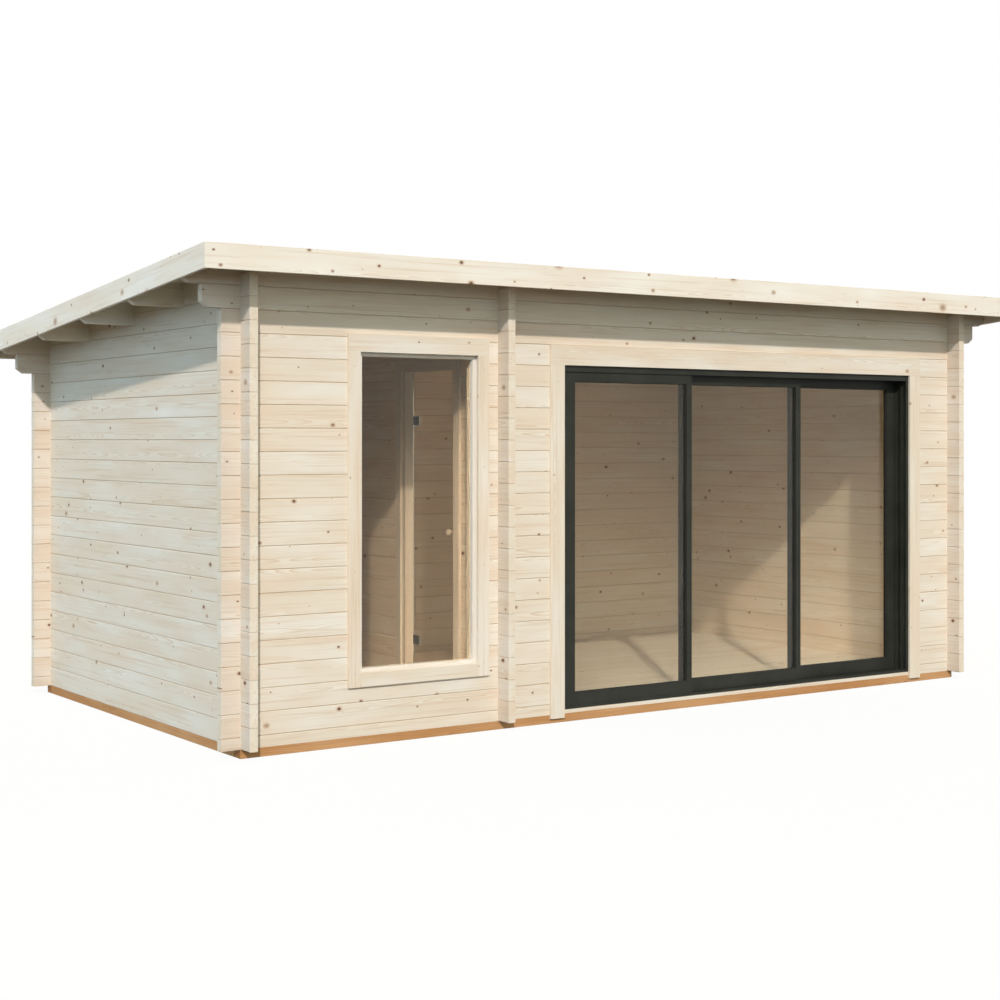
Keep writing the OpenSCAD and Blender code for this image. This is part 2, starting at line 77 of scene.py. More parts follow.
# %% Colour and node helpers
def linear(colour):
    """An sRGB hex colour as linear red, green, blue and alpha."""
    parts = [int(colour[i:i + 2], 16) / 255 for i in (1, 3, 5)]
    return [p / 12.92 if p <= 0.04045 else ((p + 0.055) / 1.055) ** 2.4 for p in parts] + [1.0]


def add(tree, kind, inputs=(), **settings):
    """Adds a node. Its inputs go by order or by name: a number, a colour, another node or a socket."""
    node = tree.nodes.new("ShaderNode" + kind)
    for name, value in settings.items():
        setattr(node, name, value)
    pairs = inputs.items() if isinstance(inputs, dict) else enumerate(inputs)
    for key, value in pairs:
        if isinstance(value, bpy.types.Node):
            value = value.outputs[0]
        if isinstance(value, bpy.types.NodeSocket):
            tree.links.new(value, node.inputs[key])
        elif value is not None:
            node.inputs[key].default_value = value
    return node


def new_material(name):
    """An empty material and its node tree."""
    material = bpy.data.materials.new(name)
    material.use_nodes = True
    material.node_tree.nodes.clear()
    return material, material.node_tree


print("#EBDCC1 in linear light:", [round(v, 3) for v in linear("#EBDCC1")[:3]])

# %% [markdown]
# ## Where a point lies in its own board
#
# Wood is a solid thing: its rings run through a board from face to face, and the same rings show as long
# flames on the flat side and as arcs on the sawn end. So the wood works in three dimensions, and needs to
# know for each point how far it is along the board, and where in the board's section.
#
# A wall is one node, so for walls we work this out from the point's place: the height tells which log it is
# in. Boards that we cut ourselves carry these numbers with them as mesh attributes.

# %% Reading a point's place in its board
def in_node(grain, stack, first, pitch, middle, two_sides=False, fall=0.0, on_edge=False):
    """Boards run along axis grain and follow each other along axis stack, one each pitch from first on."""
    def read(tree):
        place = add(tree, "SeparateXYZ", [add(tree, "TexCoord").outputs["Object"]])
        along = place.outputs[grain]
        level = add(tree, "Math", [along, fall, place.outputs[stack]], operation="MULTIPLY_ADD")
        steps = add(tree, "Math", [level, first], operation="SUBTRACT")
        steps = add(tree, "Math", [steps, pitch], operation="DIVIDE")
        board = add(tree, "Math", [steps], operation="FLOOR")
        part = add(tree, "Math", [steps, board], operation="SUBTRACT")
        across = add(tree, "Math", [part, pitch, -pitch / 2], operation="MULTIPLY_ADD")
        through = place.outputs[3 - grain - stack]
        if two_sides:
            side = add(tree, "Math", [through], operation="SIGN")
            board = add(tree, "Math", [side, 40.0, board], operation="MULTIPLY_ADD")
            through = add(tree, "Math", [through], operation="ABSOLUTE")
        through = add(tree, "Math", [through, middle], operation="SUBTRACT")
        normal = add(tree, "SeparateXYZ", [add(tree, "NewGeometry").outputs["Normal"]])
        facing = add(tree, "Math", [normal.outputs[grain]], operation="ABSOLUTE")
        sawn_end = add(tree, "Math", [facing, 0.7], operation="GREATER_THAN")
        if on_edge:
            across, through = through, across
        return along, across, through, board, sawn_end
    return read


def in_own_board(tree):
    """For a board that we cut ourselves: its mesh carries the numbers."""
    place = add(tree, "SeparateXYZ", [add(tree, "Attribute", attribute_name="in_board").outputs["Vector"]])
    board = add(tree, "Attribute", attribute_name="board").outputs["Fac"]
    sawn_end = add(tree, "Attribute", attribute_name="sawn_end").outputs["Fac"]
    return place.outputs[0], place.outputs[1], place.outputs[2], board, sawn_end


# %% [markdown]
# ## Spruce
#
# Untreated Nordic spruce, machined smooth, is a pale cream with thin tan growth rings and small dark knots.
# No two logs have the same tone: some are nearly white, some pinkish. One could stretch a noise along the
# grain and stop there, but then the sawn ends would show streaks too. Instead we rebuild how the log grew:
#
# * the heart of the tree wanders slowly along the board, a centimetre or two a metre;
# * rings are distances from that heart, 3 to 5 mm apart, light inside and dark at the outer edge;
# * knots are branches. They sit in cells along the board, each with its own size, and the rings swirl round
#   them;
# * fine streaks and soft clouds of colour, stretched along the grain, cover it all.
#
# Noise counts in features a metre, so every scale below is 1 over a real size. The finest real lines, 1 mm
# apart, are drawn about 10 mm apart, because nothing finer shows from across a garden.

# %% The wood material
SPRUCE = {"pale": "#F5F1E7", "warm": "#EEE2D0", "late": "#CDA678", "rim": "#B98B5E", "knot": "#6B4A32",
          "joint": "#A98E70", "stub_shade": "#F6F3F3", "end": "#FFFDFA", "blush": "#F0D9C2"}


HEART_SPREAD = Vector((0, 110 * MM, 80 * MM))  # how far a heart may lie from board to board
WANDER_SPREAD = Vector((0, 50 * MM, 50 * MM))  # how far it may wander along one board
KNOT_CELL = 100 * MM
# Large knots and pin knots: metres from one to the next, size and share against the large ones, start
KNOT_LAYERS = ((0.42, 1.0, 1.0, 13.7), (0.27, 0.4, 0.6, 5.3))


def wood(name, where, tones=SPRUCE, ring_mm=4.2, knot_share=0.5, knot_mm=9, rough=0.62, ring_depth=0.36,
         streak_depth=0.42, joint_pitch=None, stub_shade_from=None, seed=1, relief_mm=0.25):
    """Solid wood. knot_share is the part of the cells that hold a knot, knot_mm the largest knot's radius."""
    material, t = new_material(name)
    along, across, through, board, sawn_end = where(t)
    place = add(t, "CombineXYZ", [along, across, through])
    luck = add(t, "TexWhiteNoise", [add(t, "CombineXYZ", [board, float(seed), 0.5])], noise_dimensions="3D")
    draw = add(t, "SeparateColor", [luck.outputs["Color"]])
    far = add(t, "Math", [board, 9.7, float(seed) * 3.1], operation="MULTIPLY_ADD")

    # The heart's place in the section, and its wander along the board, one bend in about 0.8 m
    bend = add(t, "TexNoise", {"Vector": add(t, "CombineXYZ", [along, far, 0.0]),
                               "Scale": 1.3, "Detail": 1.0})
    heart = add(t, "VectorMath", [luck.outputs["Color"], HEART_SPREAD, -HEART_SPREAD / 2],
                operation="MULTIPLY_ADD")
    wander = add(t, "VectorMath", [bend.outputs["Color"], WANDER_SPREAD, -WANDER_SPREAD / 2],
                 operation="MULTIPLY_ADD")
    section = add(t, "VectorMath", [place, (0, 1, 1)], operation="MULTIPLY")
    shifted = add(t, "VectorMath", [add(t, "VectorMath", [section, heart]), wander])
    radius = add(t, "VectorMath", [shifted], operation="LENGTH").outputs["Value"]

    # Knots: each cell may hold one, with a dark core, a brown rim and a swirl of rings round it
    cores, rims, swirls = [], [], []
    for spacing, of_size, of_share, shift in KNOT_LAYERS:
        moved = add(t, "Math", [board, shift, along], operation="MULTIPLY_ADD")
        cell = add(t, "VectorMath", [add(t, "CombineXYZ", [moved, across, 0.0]),
                                     (1 / spacing, 1 / KNOT_CELL, 0)], operation="MULTIPLY")
        spot = add(t, "TexVoronoi", {"Vector": cell, "Scale": 1.0}, voronoi_dimensions="2D")
        off = add(t, "VectorMath", [cell, spot.outputs["Position"]], operation="SUBTRACT")
        real = add(t, "VectorMath", [off, (spacing * 0.75, KNOT_CELL, 0)], operation="MULTIPLY")
        gap = add(t, "VectorMath", [real], operation="LENGTH").outputs["Value"]
        knot_draw = add(t, "SeparateColor", [spot.outputs["Color"]])
        size = add(t, "MapRange", [knot_draw, 1 - knot_share * of_share, 1.0,
                                   0.3 * MM, knot_mm * of_size * MM])
        near = add(t, "Math", [gap, size], operation="DIVIDE")
        heart_of_knot = add(t, "MapRange", [near, 0.75, 1.05, 1.0, 0.0], interpolation_type="SMOOTHSTEP")
        dark = add(t, "MapRange", [knot_draw.outputs[1], 0.4, 0.8, 1.0, 0.3])
        cores.append(add(t, "Math", [heart_of_knot, dark], operation="MULTIPLY"))
        rims.append(add(t, "MapRange", [near, 0.9, 2.4, 1.0, 0.0], interpolation_type="SMOOTHSTEP"))
        swirls.append(add(t, "MapRange", [near, 0.5, 4.5, 1.0, 0.0], interpolation_type="SMOOTHSTEP"))
    core, rim, swirl = [add(t, "Math", pair, operation="MAXIMUM") for pair in (cores, rims, swirls)]

    # Rings: light early wood, then a thin dark line of late wood, wavering every 33 mm across the grain
    fuzz = add(t, "TexNoise", {"Vector": add(t, "VectorMath", [place, (2.5, 30, 30)], operation="MULTIPLY"),
                               "Scale": 1.0, "Detail": 2.0})
    count = add(t, "Math", [radius, 1000 / ring_mm, fuzz], operation="MULTIPLY_ADD")
    count = add(t, "Math", [swirl, 2.5, count], operation="MULTIPLY_ADD")
    late = add(t, "Math", [add(t, "Math", [count], operation="FRACT"), 2.6], operation="POWER")

    # Streaks, 0.6 m long and 14 mm wide, and clouds, 0.55 m by 125 mm
    own = add(t, "VectorMath", [place, add(t, "CombineXYZ", [far, far, 0.0])])
    streak = add(t, "TexNoise", {"Vector": add(t, "VectorMath", [own, (1.6, 70, 70)], operation="MULTIPLY"),
                                 "Scale": 1.0, "Detail": 3.0, "Roughness": 0.6})
    cloud = add(t, "TexNoise", {"Vector": add(t, "VectorMath", [own, (1.8, 8, 8)], operation="MULTIPLY"),
                                "Scale": 1.0, "Detail": 2.0})

    # Colour, from the ground tone up, with a blush in patches of 0.9 m by 200 mm
    own_tone = add(t, "Math", [draw, 0.45, -0.75], operation="MULTIPLY_ADD")
    tone = add(t, "Math", [cloud, 2.6, own_tone], operation="MULTIPLY_ADD", use_clamp=True)
    colour = add(t, "MixRGB", [tone, linear(tones["pale"]), linear(tones["warm"])])
    blush = add(t, "TexNoise", {"Vector": add(t, "VectorMath", [own, (1.1, 5, 5)], operation="MULTIPLY"),
                                "Scale": 1.0, "Detail": 1.0})
    blush = add(t, "MapRange", [blush, 0.5, 0.75, 0.0, 0.45])
    colour = add(t, "MixRGB", [blush, colour, linear(tones["blush"])])
    ring_line = add(t, "MapRange", [add(t, "SeparateColor", [cloud.outputs["Color"]]).outputs[2], 0.35, 0.65,
                                    ring_depth * 0.3, ring_depth * 1.5])
    ring_line = add(t, "Math", [late, ring_line], operation="MULTIPLY")
    colour = add(t, "MixRGB", [ring_line, colour, linear(tones["late"])])
    streak_line = add(t, "MapRange", [streak, 0.52, 0.78, 0.0, streak_depth])
    colour = add(t, "MixRGB", [streak_line, colour, linear(tones["late"])])
    rim = add(t, "Math", [rim, 0.55], operation="MULTIPLY")
    colour = add(t, "MixRGB", [rim, colour, linear(tones["rim"])])
    colour = add(t, "MixRGB", [core, colour, linear(tones["knot"])])
    # A thin dark line where two logs meet: painted shade in the gap, with some dust
    if joint_pitch:
        edge = add(t, "Math", [across], operation="ABSOLUTE")
        edge = add(t, "MapRange", [edge, joint_pitch / 2 - 2.6 * MM, joint_pitch / 2 - 0.8 * MM,
                                   0.0, 0.52])
        colour = add(t, "MixRGB", [edge, colour, linear(tones["joint"])])
    end_colour = add(t, "MixRGB", [1.0, colour, linear(tones["end"])], blend_type="MULTIPLY")
    # Painted shade: the stubs beyond a crossing are drawn a little darker than the wall
    if stub_shade_from:
        past = add(t, "Math", [along], operation="ABSOLUTE")
        past = add(t, "MapRange", [past, stub_shade_from, stub_shade_from + 2 * MM, 0.0, 1.0])
        colour = add(t, "MixRGB", [past, colour, linear(tones["stub_shade"])], blend_type="MULTIPLY")
    colour = add(t, "MixRGB", [sawn_end, colour, end_colour])

    # Late wood and knots stand up a little from the soft early wood
    height = add(t, "Math", [late, 0.5, streak], operation="MULTIPLY_ADD")
    height = add(t, "Math", [core, 0.6, height], operation="MULTIPLY_ADD")
    bump = add(t, "Bump", {"Strength": 0.5, "Distance": relief_mm * MM, "Height": height})
    roughness = add(t, "MapRange", [streak, 0.2, 0.8, rough - 0.09, rough + 0.09])
    surface = add(t, "BsdfPrincipled", {"Base Color": colour, "Roughness": roughness, "Normal": bump,
                                        "Specular IOR Level": 0.35})
    add(t, "OutputMaterial", [surface])
    return material


def finish_nodes(names, material):
    """Gives CAD nodes their material."""
    for name in names:
        nodes[name].data.materials.clear()
        nodes[name].data.materials.append(material)
    print(material.name, "on", ", ".join(names))


# %% [markdown]
# ## Logs
#
# Front and back logs start with a half log and side logs with a whole one, so that they cross at the corners.
# That is why the two sets count their joints from different heights. Each wall gets a seed of its own, so
# that no wall repeats another. The V joints are cut in the construction; the shader only adds a thin dark
# line where two logs meet, partly dust and partly painted shade in the gap. The stubs that stand out beyond
# a crossing are given painted shade: they are drawn a little darker than the wall.

# %% Materials of the log walls
def middle_of(name, axis):
    low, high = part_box(name)
    return (low[axis] + high[axis]) / 2


half_step = wall_foot - LOG_COVER / 2
log_walls = {
    "front": (0, half_step, "front_wall_low", 3,
              ["front_wall_low", "front_wall_left", "front_wall_middle", "front_wall_right",
               "front_wall_head", "front_bracket_log", "front_plate"]),
    "back": (0, half_step, "back_wall", 8, ["back_wall", "back_bracket_log", "back_plate"]),
    "left": (1, wall_foot, "left_wall", 5, ["left_wall"]),
    "right": (1, wall_foot, "right_wall", 6, ["right_wall"]),
    "partition": (1, wall_foot, "partition_front", 7,
                  ["partition_front", "partition_back", "partition_head"]),
}
crossing = (-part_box("left_wall")[0].x, -front_face)
for side, (grain, first, measured, seed, members) in log_walls.items():
    where = in_node(grain, 2, first, LOG_COVER, middle_of(measured, 1 - grain))
    finish_nodes(members, wood("machined spruce logs, " + side, where, seed=seed, joint_pitch=LOG_COVER,
                               stub_shade_from=crossing[grain]))

# %% [markdown]
# ## Planed boards and beams
#
# Casings, fascias and the sill board are planed and a little finer than the logs. Where a node holds two
# boards side by side, the reading helper tells them apart by the distance between them. Purlins are the same
# timber as the logs. The foundation beams are pressure treated: the salt turns the wood orange brown and
# dulls it, and it is left rough from the saw.

# %% Materials of boards and beams
ALONE = 10.0  # metres, a pitch so wide that a node counts as one board


def one_board(name, grain, stack):
    """A node that is one board."""
    low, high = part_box(name)
    thick = 3 - grain - stack
    middle = (low[stack] + high[stack]) / 2
    return in_node(grain, stack, middle - ALONE / 2, ALONE, (low[thick] + high[thick]) / 2)


def two_boards(name, grain, stack, width):
    """A node of two boards of one width, at the two ends of its box along stack."""
    low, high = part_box(name)
    thick = 3 - grain - stack
    pitch = high[stack] - low[stack] - width
    return in_node(grain, stack, low[stack] + width / 2 - pitch / 2, pitch, (low[thick] + high[thick]) / 2)


PLANED = dict(SPRUCE, pale="#F4EFE4", warm="#EEE1CE")
FASCIA = dict(SPRUCE, pale="#FBF7EF", warm="#F5ECDD")
JOINERY = dict(SPRUCE, pale="#FBF8F2", warm="#F4EDE2", late="#D6B68E")
DECK = dict(SPRUCE, pale="#FCF9F3", warm="#F6EFE3")
FASCIA_THICK = 19 * MM
WINDOW_CASING = 69 * MM
WINDOW_CASING_ENDS = 80 * MM  # between the widths of the bottom and the top board
DOOR_CASING = 92 * MM
side_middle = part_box("fascia_sides")[1].x - FASCIA_THICK / 2
planed = {
    "window_casing_sides": (two_boards("window_casing_sides", 2, 0, WINDOW_CASING), 11),
    "window_casing_ends": (two_boards("window_casing_ends", 0, 2, WINDOW_CASING_ENDS), 12),
    "door_casing_sides": (two_boards("door_casing_sides", 2, 0, DOOR_CASING), 13),
    "door_casing_top_board": (one_board("door_casing_top_board", 0, 2), 14),
    "door_sill": (one_board("door_sill", 0, 1), 15),
    "fascia_front": (one_board("fascia_front", 0, 2), 16),
    "fascia_back": (one_board("fascia_back", 0, 2), 17),
    "fascia_sides": (in_node(1, 2, middle_of("fascia_sides", 2) - ALONE / 2, ALONE, side_middle,
                             two_sides=True, fall=ROOF_FALL), 18),
}
for name, (where, seed) in planed.items():
    tones, knots, largest = (FASCIA, 0.9, 15) if name.startswith("fascia") else (PLANED, 0.45, 8)
    finish_nodes([name], wood("planed spruce, " + name.replace("_", " "), where, tones, ring_mm=3.6,
                              knot_share=knots, knot_mm=largest, rough=0.56, seed=seed, relief_mm=0.15))
PURLIN = 44 * MM
low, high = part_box("purlins")
purlin_pitch = (high.y - low.y - PURLIN) / 2
where = in_node(0, 1, low.y + PURLIN / 2 - purlin_pitch / 2, purlin_pitch, middle_of("purlins", 2),
                on_edge=True)
finish_nodes(["purlins"], wood("machined spruce purlins", where, seed=19))

TREATED = {"pale": "#D9A878", "warm": "#C48F5C", "late": "#A06F42", "rim": "#8C5C36", "knot": "#5E3C22",
           "end": "#D8CDB8", "blush": "#B97F50"}
CROSS_FROM, CROSS_PITCH = -2.7, 0.6  # metres, for the timbers that run front to back
beams = {"foundation_front": (0, 2, 21), "foundation_back": (0, 2, 22), "foundation_cross": (1, 0, 23),
         "floor_joists": (1, 0, 24)}
for name, (grain, stack, seed) in beams.items():
    where = (one_board(name, grain, stack) if grain == 0
             else in_node(grain, stack, CROSS_FROM, CROSS_PITCH, middle_of(name, 2)))
    finish_nodes([name], wood("treated timber, " + name.replace("_", " "), where, TREATED, ring_mm=3.2,
                              knot_share=0.4, knot_mm=10, rough=0.78, seed=seed, relief_mm=0.6))

# %% [markdown]
# ## Eased edges
#
# No planed edge is a knife edge: the machine takes off a millimetre. A Bevel modifier does this without
# touching the construction's mesh. It needs corners that are joined, and imported corners are split, so a
# Weld comes first. Only real corners are eased, so the angle limit is steep. The log walls, with their V
# joints, are left without it.

# %% Ease the edges of the timber
def ease(piece, width_mm, limit=60):
    """Joins split corners, then rounds the sharp ones."""
    weld = piece.modifiers.new("joined corners", "WELD")
    weld.merge_threshold = 0.01 * MM
    edge = piece.modifiers.new("eased edges", "BEVEL")
    edge.width = width_mm * MM
    edge.segments = 2
    edge.limit_method = "ANGLE"
    edge.angle_limit = math.radians(limit)


for name in list(planed) + list(beams) + ["purlins"]:
    ease(nodes[name], 1.5)
print("eased", len(planed) + len(beams) + 1, "nodes")

# %% [markdown]
# ## Cutting our own pieces
#
# Floors, roof boards and frames are made here of single boards. `Workshop` collects pieces and turns them
# into one mesh. Each piece is an outline pushed along its grain, or a profile turned on a lathe, and each
# keeps its own number and its own coordinates, which the wood material reads.

# %% The workshop
AXES = {"x": (0, 1, 2), "y": (1, 2, 0), "z": (2, 0, 1)}


class Workshop:
    """Collects pieces for one mesh."""

    def __init__(self):
        self.points, self.faces, self.places, self.numbers, self.ends = [], [], [], [], []
        self.number = 0

    def solid(self, points, faces, places, ends, same_board):
        start = len(self.points)
        self.number += 0 if same_board else 1
        self.points += points
        self.places += places
        self.faces += [[start + i for i in face] for face in faces]
        self.numbers += [self.number] * len(faces)
        self.ends += ends

    def push(self, outline, start, end, grain="x", same_board=False):
        """An outline in the two axes after grain, pushed along grain from start to end."""
        a, b, c = AXES[grain]
        middle = [(min(p[i] for p in outline) + max(p[i] for p in outline)) / 2 for i in (0, 1)]
        wide = max(p[0] for p in outline) - middle[0] >= max(p[1] for p in outline) - middle[1]
        points, places, n = [], [], len(outline)
        for along in (start, end):
            for u, v in outline:
                point = [0, 0, 0]
                point[a], point[b], point[c] = along, u, v
                points.append(point)
                place = (u - middle[0], v - middle[1])
                places.append((along, *(place if wide else place[::-1])))
        sides = [(i, (i + 1) % n, n + (i + 1) % n, n + i) for i in range(n)]
        caps = [tuple(range(n))[::-1], tuple(range(n, 2 * n))]
        self.solid(points, sides + caps, places, [0.0] * n + [1.0, 1.0], same_board)

    def board(self, low, high, grain="x", same_board=False):
        """A plain board between two corners."""
        a, b, c = AXES[grain]
        outline = [(low[b], low[c]), (high[b], low[c]), (high[b], high[c]), (low[b], high[c])]
        self.push(outline, low[a], high[a], grain, same_board)

    def turn(self, profile, centre, axis="x", sides=12):
        """A profile of (distance along axis, radius), turned on a lathe round the axis through centre."""
        a, b, c = AXES[axis]
        points, places = [], []
        for along, radius in profile:
            for k in range(sides):
                angle = 2 * math.pi * k / sides
                point = list(centre)
                point[a] += along
                point[b] += radius * math.cos(angle)
                point[c] += radius * math.sin(angle)
                points.append(point)
                places.append((along, radius * math.cos(angle), radius * math.sin(angle)))
        faces = []
        for ring in range(len(profile) - 1):
            for k in range(sides):
                i, j = ring * sides + k, ring * sides + (k + 1) % sides
                faces.append((i, j, j + sides, i + sides))
        faces += [tuple(range(sides))[::-1], tuple(range(len(points) - sides, len(points)))]
        self.solid(points, faces, places, [0.0] * len(faces), False)

    def make(self, name, material, body, replaced=(), eased_mm=0, tilt=None, smooth=False):
        """Turns the collected pieces into one object that rides on a body."""
        mesh = bpy.data.meshes.new(name)
        mesh.from_pydata(self.points, [], self.faces)
        mesh.attributes.new("in_board", "FLOAT_VECTOR", "POINT").data.foreach_set(
            "vector", [v for place in self.places for v in place])
        mesh.attributes.new("board", "FLOAT", "FACE").data.foreach_set(
            "value", [float(n) for n in self.numbers])
        mesh.attributes.new("sawn_end", "FLOAT", "FACE").data.foreach_set("value", self.ends)
        if tilt:
            mesh.transform(tilt)
        work = bmesh.new()
        work.from_mesh(mesh)
        bmesh.ops.recalc_face_normals(work, faces=work.faces)
        work.to_mesh(mesh)
        work.free()
        if smooth:
            mesh.shade_smooth()
            mesh.set_sharp_from_angle(angle=math.radians(35))
        piece = bpy.data.objects.new(name, mesh)
        bpy.context.scene.collection.objects.link(piece)
        mesh.materials.append(material)
        if eased_mm:
            ease(piece, eased_mm, 40)
        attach(piece, body)
        if replaced:
            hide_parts(*replaced)
        print(name, "of", self.number, "pieces,", len(self.faces), "faces")
        return piece


# %% [markdown]
# ## Floors
#
# Both rooms have tongued floor boards that run the long way of the cabin. Each board has its two upper edges
# taken off, so a fine V shows between them. They stop a little short of the walls, because a floor swells and
# shrinks. Beside the sliding door the boards stop at the sill.

# %% Lay the floors
FLOOR_PITCH = 90 * MM
FLOOR_V = 1.6 * MM
EXPANSION = 3 * MM
NARROWEST = 20 * MM
TIGHT = 0.2 * MM  # from a board's side to the middle of the joint


def lay_floor(node, title, seed, stop=None):
    """Boards along x between the walls. Boards in front of stop.y are cut out between stop.x and stop.z."""
    low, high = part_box(node)
    shop = Workshop()
    y = low.y + EXPANSION
    while y < high.y - NARROWEST:
        y1 = min(y + FLOOR_PITCH, high.y - EXPANSION)
        runs = [(low.x + EXPANSION, high.x - EXPANSION)]
        if stop and y < stop.y:
            y1 = min(y1, stop.y)
            runs = [(low.x + EXPANSION, stop.x), (stop.z, high.x - EXPANSION)]
        outline = [(y + TIGHT, low.z), (y1 - TIGHT, low.z), (y1 - TIGHT, high.z - FLOOR_V),
                   (y1 - FLOOR_V, high.z), (y + FLOOR_V, high.z), (y + TIGHT, high.z - FLOOR_V)]
        for x0, x1 in runs:
            shop.push(outline, x0, x1)
        y = y1
    boards = wood("planed spruce floor boards, " + title, in_own_board, DECK, ring_mm=3.8, knot_share=0.55,
                  knot_mm=8, rough=0.5, seed=seed, relief_mm=0.12)
    return shop.make(node + "_boards", boards, "cabin", [node])


lay_floor("sauna_floor", "sauna", 31)
sill_low, sill_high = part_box("door_sill")
lay_floor("lounge_floor", "lounge", 32, Vector((sill_low.x, sill_high.y, sill_high.x)))

# %% [markdown]
# ## Roof boards
#
# The roof is boarded front to back, and from below one sees the boards' planed side with a V at each joint.
# We cut them level and then tilt the whole mesh with a shear, which keeps their sawn ends upright, as on the
# real roof.

# %% Board the roof
ROOF_PITCH = 96 * MM
ROOF_V = 3 * MM
board_thick = (roof_high.z - roof_low.z) - ROOF_FALL * (roof_high.y - roof_low.y)
roof_zero = roof_high.z - board_thick + ROOF_FALL * roof_low.y
slope = Matrix(((1, 0, 0, 0), (0, 1, 0, 0), (0, -ROOF_FALL, 1, roof_zero), (0, 0, 0, 1)))
shop = Workshop()
count = round((roof_high.x - roof_low.x) / ROOF_PITCH)
pitch = (roof_high.x - roof_low.x) / count
for k in range(count):
    x0, x1 = roof_low.x + k * pitch + TIGHT, roof_low.x + (k + 1) * pitch - TIGHT
    outline = [(board_thick, x0), (board_thick, x1), (ROOF_V, x1),
               (0, x1 - ROOF_V), (0, x0 + ROOF_V), (ROOF_V, x0)]
    shop.push(outline, roof_low.y, roof_high.y, "y")
roof_wood = wood("planed spruce roof boards", in_own_board, PLANED, ring_mm=4, knot_share=0.6, knot_mm=9,
                 rough=0.6, seed=33)
shop.make("roof_boarding", roof_wood, "cabin", ["roof_boards"], tilt=slope)

# %% [markdown]
# ## Roofing felt
#
# Felt comes in rolls a metre wide. It is rolled out across the fall, from the low side up, and each length
# laps 100 mm over the one below, held by clout nails. Its face is crushed slate pressed into bitumen: a
# speckle of grains, drawn here at 4 mm where the real ones are 1 mm, so that they show at all.

# %% Lay the felt
felt_low, felt_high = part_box("roof_felt")
FELT = 3 * MM
FELT_LAP = 100 * MM
FELT_RAMP = 20 * MM
FELT_EDGE = 26 * MM
FELT_LENGTHS = 4
NAIL_IN = 30 * MM
felt_zero = board_thick + 0.05 * MM
shop = Workshop()
length = (felt_high.y - felt_low.y - FELT_EDGE + (FELT_LENGTHS - 1) * FELT_LAP) / FELT_LENGTHS
back = felt_high.y
felt_left, felt_right = felt_low.x + FELT_EDGE, felt_high.x - FELT_EDGE
nail_rows = []
for k in range(FELT_LENGTHS):
    front = back - length
    lap, ramp = back - FELT_LAP, back - FELT_LAP - FELT_RAMP
    raised = felt_zero + (FELT if k else 0)
    outline = [(front, felt_zero), (ramp, felt_zero), (lap, raised), (back, raised),
               (back, raised + FELT), (lap, raised + FELT), (ramp, felt_zero + FELT),
               (front, felt_zero + FELT)]
    shop.push(outline, felt_left, felt_right)
    nail_rows.append((back - NAIL_IN, raised + FELT))
    back = front + FELT_LAP

felt, t = new_material("mineral surfaced roofing felt")
place = add(t, "TexCoord").outputs["Object"]
grains = add(t, "TexVoronoi", {"Vector": place, "Scale": 1 / (4 * MM)})
patches = add(t, "TexNoise", {"Vector": place, "Scale": 1.2, "Detail": 4.0})
tone = add(t, "SeparateColor", [grains.outputs["Color"]])
colour = add(t, "MixRGB", [tone, linear("#34373A"), linear("#5C6063")])
patches = add(t, "MapRange", [patches, 0.35, 0.7, 0.0, 0.35])
colour = add(t, "MixRGB", [patches, colour, linear("#3E4042")])
bump = add(t, "Bump", {"Strength": 0.7, "Distance": 0.8 * MM, "Height": grains.outputs["Distance"]})
surface = add(t, "BsdfPrincipled", {"Base Color": colour, "Roughness": 0.9, "Normal": bump})
add(t, "OutputMaterial", [surface])
shop.make("roof_felt_lengths", felt, "cabin", ["roof_felt"], tilt=slope)

# %% [markdown]
# ## Window joinery
#
# The fixed window is a frame of four members: two stiles that run full height and two rails between them, all
# with a groove for the pane. As single boards their grain turns the corner, which one picture-frame mesh
# can't show.

# %% Join the window frame
SECTION = 44 * MM
GROOVE = 10.2 * MM
PLAY = 0.3 * MM


def grooved(outer, inner, low, high, pane_low, pane_high):
    """Outline of a member from its outer edge to its inner one, where a groove takes the pane."""
    deep = inner - math.copysign(GROOVE, inner - outer)
    return [(outer, low), (inner, low), (inner, pane_low - PLAY), (deep, pane_low - PLAY),
            (deep, pane_high + PLAY), (inner, pane_high + PLAY), (inner, high), (outer, high)]


low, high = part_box("window_frame")
pane_low, pane_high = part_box("window_glass")
shop = Workshop()
for outer, inner in ((low.x, low.x + SECTION), (high.x, high.x - SECTION)):
    shop.push(grooved(outer, inner, low.y, high.y, pane_low.y, pane_high.y), low.z, high.z, "z")
for outer, inner in ((low.z, low.z + SECTION), (high.z, high.z - SECTION)):
    outline = [(v, u) for u, v in grooved(outer, inner, low.y, high.y, pane_low.y, pane_high.y)]
    shop.push(outline, low.x + SECTION, high.x - SECTION)
joinery = wood("planed spruce joinery", in_own_board, JOINERY, ring_mm=3.2, knot_share=0.25, knot_mm=6,
               rough=0.55, seed=41, relief_mm=0.12)
shop.make("window_joinery", joinery, "cabin", ["window_frame"], eased_mm=1.2)

# %% [markdown]
# ## Sauna door frame and knobs
#
# The sauna door is a pane that closes into a rebated frame. The frame stands in the log partition and moves
# free of it as the logs settle, so cover strips on both sides hide the gap. The round knobs are turned from
# one piece each, with the grain along the axis: a foot, a slim neck and a ball.

